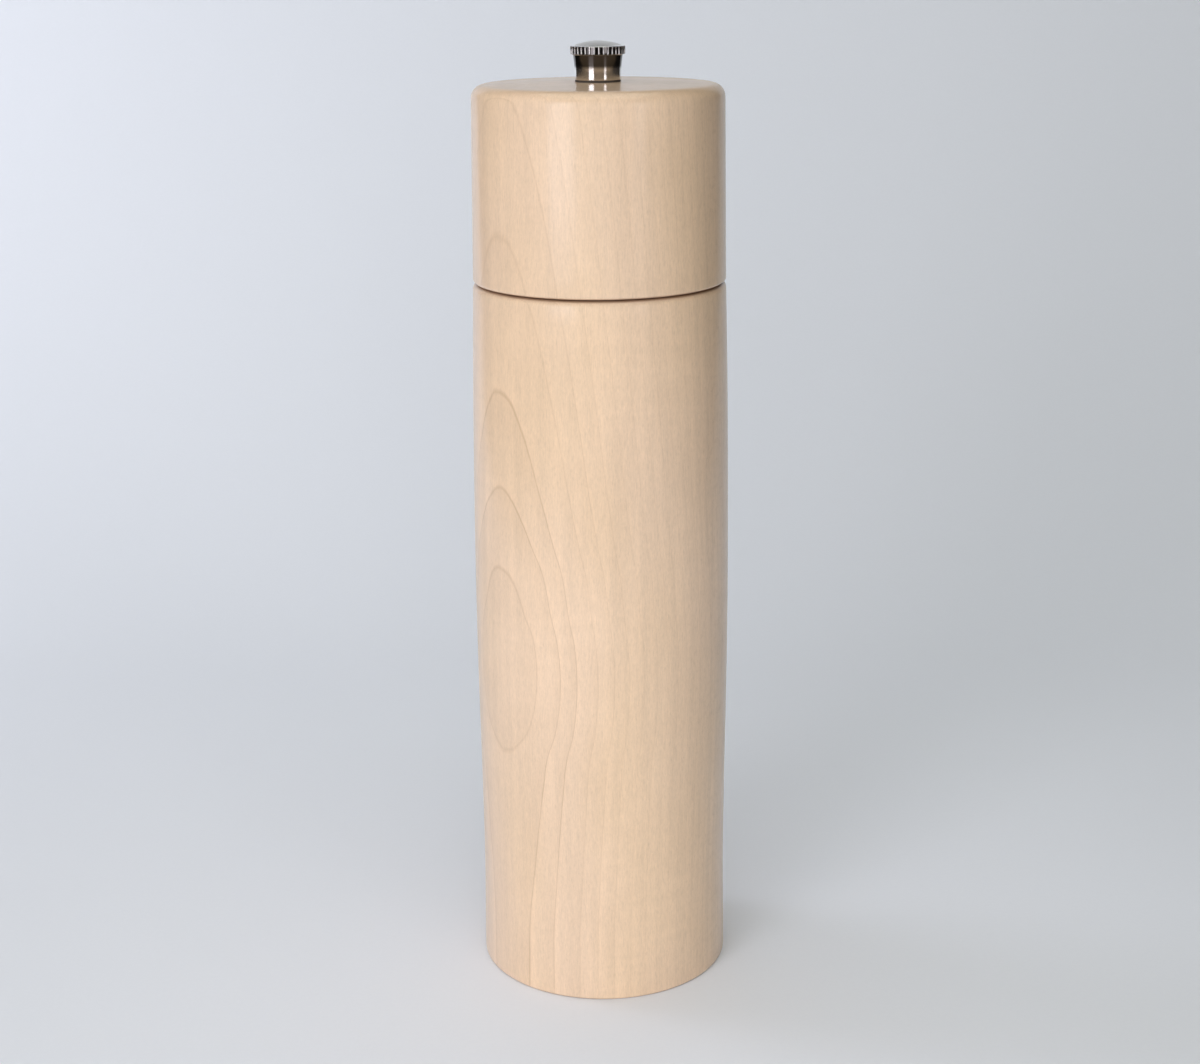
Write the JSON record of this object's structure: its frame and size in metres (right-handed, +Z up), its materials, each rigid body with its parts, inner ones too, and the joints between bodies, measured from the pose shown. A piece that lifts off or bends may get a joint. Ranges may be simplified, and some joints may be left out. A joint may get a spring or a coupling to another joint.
{
  "type": "pepper mill",
  "caption": "Turned maple pepper mill with a lift-off turning head, a sprung toothed steel grinder in its base and a knurled chrome adjusting nut.",
  "frame": {"origin": "centre of the base, on the surface that the mill stands on", "axes": "+Z up along the mill's axis, from the base to the adjusting nut; +X through the first plate screw and along the bridge over the grinder"},
  "size_m": [0.0682, 0.0682, 0.2506],
  "materials": {
    "maple_body": "clear satin lacquer over turned maple, grain upright",
    "maple_head": "clear satin lacquer over turned maple, grain upright",
    "zinc_plated_steel": "bright zinc plate",
    "bright_steel": "turned",
    "spring_steel": "drawn wire",
    "hardened_steel": "hardened, dark, with cut teeth",
    "aluminium_bar": "drawn square bar",
    "nylon": "moulded",
    "fibre": "punched sheet",
    "chrome_nut": "polished chrome plate, straight knurled rim",
    "brass_insert": "turned"
  },
  "bodies": {
    "body": {"body_shell": "maple_body", "grinder_plate": "zinc_plated_steel", "plate_screws": "zinc_plated_steel", "stator": "hardened_steel", "bridge": "zinc_plated_steel", "bridge_rivets": "bright_steel", "bridge_bush": "nylon"},
    "hub": {"thrust_washer": "bright_steel", "spring": "spring_steel"},
    "drive": {"shaft": "aluminium_bar", "rotor": "hardened_steel", "rotor_washer": "zinc_plated_steel", "rotor_clip": "spring_steel"},
    "head": {"head_shell": "maple_head", "turnplate": "zinc_plated_steel", "turnplate_screws": "zinc_plated_steel"},
    "top_washer": {"nut_washer": "fibre"},
    "nut": {"adjusting_nut": "chrome_nut", "nut_insert": "brass_insert"}
  },
  "joints": [
    {"name": "mill_turn", "type": "hinge", "parent": "body", "child": "hub", "pos_m": [0, 0, 0.036], "axis": [0, 0, 1], "continuous": true},
    {"name": "grind_set", "type": "slide", "parent": "hub", "child": "drive", "axis": [0, 0, 1], "range_m": [-0.0016, 0.0004], "deforming": ["spring"]},
    {"name": "head_lift", "type": "slide", "parent": "hub", "child": "head", "axis": [0, 0, 1], "range_m": [0, 0.075]},
    {"name": "nut_off", "type": "slide", "parent": "head", "child": "top_washer", "axis": [0, 0, 1], "range_m": [0, 0.012]},
    {"name": "nut_turn", "type": "hinge", "parent": "top_washer", "child": "nut", "pos_m": [0, 0, 0.244], "axis": [0, 0, 1], "range_deg": [-180, 720]}
  ],
  "couplings": [
    {"joint": "nut_turn", "follows": "grind_set", "rad_per_m": -7854}
  ]
}
